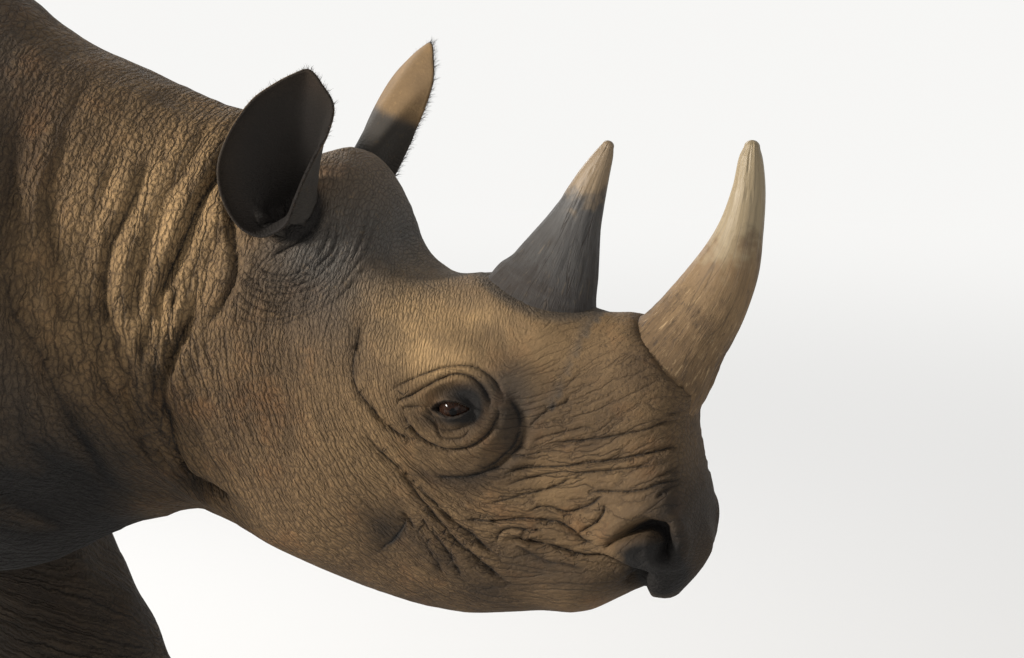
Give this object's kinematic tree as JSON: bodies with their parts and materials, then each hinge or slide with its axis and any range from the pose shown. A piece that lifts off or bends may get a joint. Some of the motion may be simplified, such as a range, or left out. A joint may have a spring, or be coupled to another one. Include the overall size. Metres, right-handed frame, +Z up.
{
  "type": "black rhinoceros",
  "caption": "Still, life-size black rhinoceros standing in mid-stride, head turned a little and held out level, with a front and a rear nose horn, trumpet ears and a hooked upper lip.",
  "frame": {"origin": "on the floor, below the middle of the whole animal's box", "axes": "+X from tail to nose, +Y to the animal's left, +Z up"},
  "size_m": [2.913, 0.8692, 1.5176],
  "materials": {
    "skin": "matt, wrinkled grey-brown hide with dust",
    "horn": "fibrous grey-brown keratin, smoother at the tip",
    "nail": "dull, scuffed dark keratin",
    "eye": "wet, very dark brown"
  },
  "bodies": {
    "root": {"head": "skin", "neck": "skin", "trunk": "skin", "tail": "skin", "ear_left": "skin", "ear_right": "skin", "foreleg_left": "skin", "foreleg_right": "skin", "hindleg_left": "skin", "hindleg_right": "skin", "eye_left": "eye", "eye_right": "eye", "horn_front": "horn", "horn_rear": "horn", "nail_foreleg_left_inner": "nail", "nail_foreleg_left_middle": "nail", "nail_foreleg_left_outer": "nail", "nail_foreleg_right_inner": "nail", "nail_foreleg_right_middle": "nail", "nail_foreleg_right_outer": "nail", "nail_hindleg_left_inner": "nail", "nail_hindleg_left_middle": "nail", "nail_hindleg_left_outer": "nail", "nail_hindleg_right_inner": "nail", "nail_hindleg_right_middle": "nail", "nail_hindleg_right_outer": "nail"}
  },
  "joints": []
}
